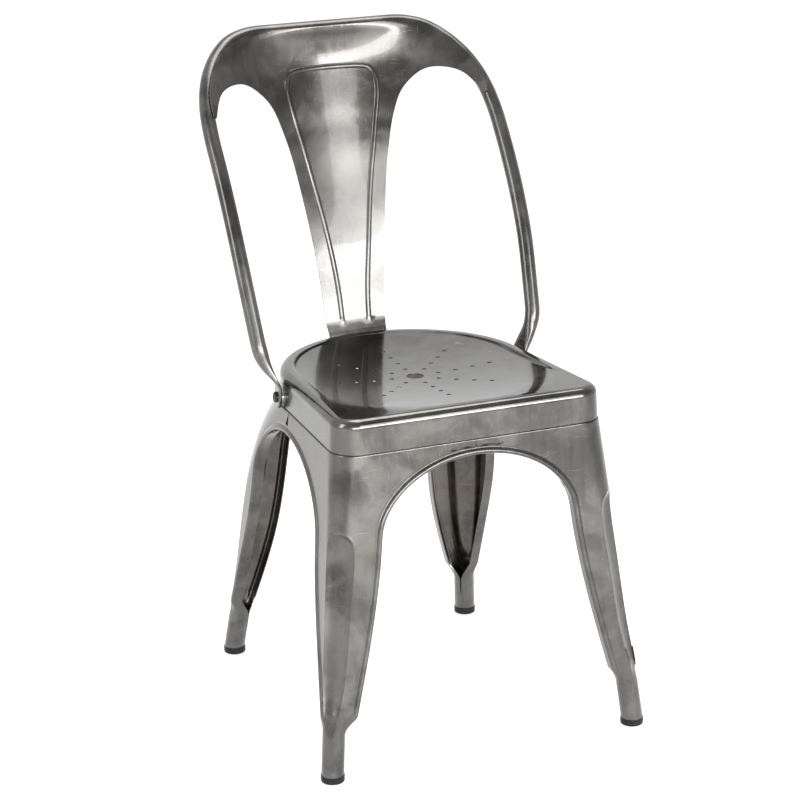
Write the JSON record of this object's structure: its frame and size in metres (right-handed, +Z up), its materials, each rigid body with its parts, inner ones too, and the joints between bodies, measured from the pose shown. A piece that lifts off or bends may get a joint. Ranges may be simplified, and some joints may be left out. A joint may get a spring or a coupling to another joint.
{
  "type": "chair",
  "caption": "Stacking metal bistro chair with a dished, perforated seat, splayed pressed sheet legs, and a tube hoop back with a keystone splat.",
  "frame": {"origin": "on the floor, under the middle of the chair's bounding box", "axes": "+Z up, -Y towards the sitter's front (the seat's open edge), +Y towards the back, X across the seat, with the chair symmetric about X = 0"},
  "size_m": [0.447, 0.5257, 0.858],
  "materials": {
    "lacquered_steel": "bare brushed steel under a dark clear gloss lacquer, cloudy and finely scratched",
    "foot_plastic": "satin black moulded plastic",
    "dark_screw": "black oxide, satin",
    "zinc": "dull zinc plating"
  },
  "bodies": {
    "root": {"seat_pan": "lacquered_steel", "front_left_leg": "lacquered_steel", "front_right_leg": "lacquered_steel", "rear_left_leg": "lacquered_steel", "rear_right_leg": "lacquered_steel", "back_hoop": "lacquered_steel", "back_plate": "lacquered_steel", "front_left_cap": "foot_plastic", "front_right_cap": "foot_plastic", "rear_left_cap": "foot_plastic", "rear_right_cap": "foot_plastic", "side_screw_left": "dark_screw", "side_screw_right": "dark_screw", "spacer_left": "zinc", "spacer_right": "zinc", "side_nut_left": "zinc", "side_nut_right": "zinc", "rear_screw_left": "dark_screw", "rear_screw_right": "dark_screw", "rear_nut_left": "zinc", "rear_nut_right": "zinc"}
  },
  "joints": []
}
